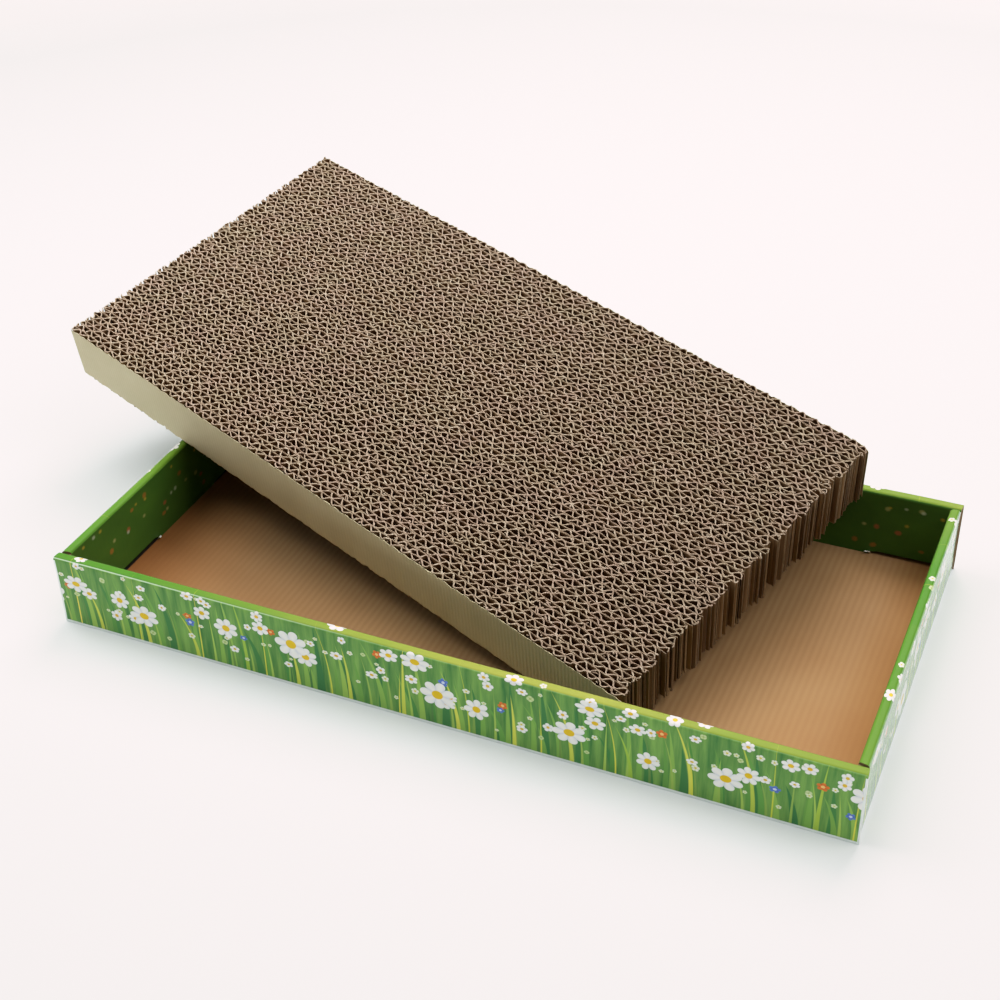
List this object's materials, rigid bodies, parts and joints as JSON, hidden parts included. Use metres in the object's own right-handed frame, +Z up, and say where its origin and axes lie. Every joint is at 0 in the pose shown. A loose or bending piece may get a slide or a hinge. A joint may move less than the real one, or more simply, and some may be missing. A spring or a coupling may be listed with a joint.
{
  "type": "cardboard cat scratcher",
  "caption": "Shallow folded cardboard tray with rolled-over walls, and a loose scratching pad of upright corrugated strips lying skewed in it.",
  "frame": {"origin": "centre of the tray's flat underside, on the surface it stands on", "axes": "+X along the tray's length, +Y across it towards its back wall, +Z up"},
  "size_m": [0.4993, 0.3336, 0.1276],
  "materials": {
    "printed_wall": "printed green on kraft board, satin",
    "printed_ledge": "printed light green on kraft board, satin",
    "printed_inner": "printed dark green on kraft board, satin",
    "bare_kraft": "bare brown kraft",
    "strip_paper": "cut edges of brown kraft paper"
  },
  "bodies": {
    "tray": {"floor_panel": "bare_kraft", "front_outer_wall": "printed_wall", "front_rim": "printed_ledge", "front_inner_wall": "printed_inner", "back_outer_wall": "printed_wall", "back_rim": "printed_ledge", "back_inner_wall": "printed_inner", "left_outer_wall": "printed_wall", "left_rim": "printed_ledge", "left_inner_wall": "printed_inner", "right_outer_wall": "printed_wall", "right_rim": "printed_ledge", "right_inner_wall": "printed_inner", "front_left_corner_flap": "bare_kraft", "front_right_corner_flap": "bare_kraft", "back_left_corner_flap": "bare_kraft", "back_right_corner_flap": "bare_kraft"},
    "pad": {"pad_strip_01": "strip_paper", "pad_strip_02": "strip_paper", "pad_strip_03": "strip_paper", "pad_strip_04": "strip_paper", "pad_strip_05": "strip_paper", "pad_strip_06": "strip_paper", "pad_strip_07": "strip_paper", "pad_strip_08": "strip_paper", "pad_strip_09": "strip_paper", "pad_strip_10": "strip_paper", "pad_strip_11": "strip_paper", "pad_strip_12": "strip_paper", "pad_strip_13": "strip_paper", "pad_strip_14": "strip_paper", "pad_strip_15": "strip_paper", "pad_strip_16": "strip_paper", "pad_strip_17": "strip_paper", "pad_strip_18": "strip_paper", "pad_strip_19": "strip_paper", "pad_strip_20": "strip_paper", "pad_strip_21": "strip_paper", "pad_strip_22": "strip_paper", "pad_strip_23": "strip_paper", "pad_strip_24": "strip_paper", "pad_strip_25": "strip_paper", "pad_strip_26": "strip_paper", "pad_strip_27": "strip_paper", "pad_strip_28": "strip_paper", "pad_strip_29": "strip_paper", "pad_strip_30": "strip_paper"}
  },
  "joints": [
    {"name": "pad_lift", "type": "slide", "parent": "tray", "child": "pad", "axis": [0, 0, 1], "range_m": [0, 0.15]}
  ]
}
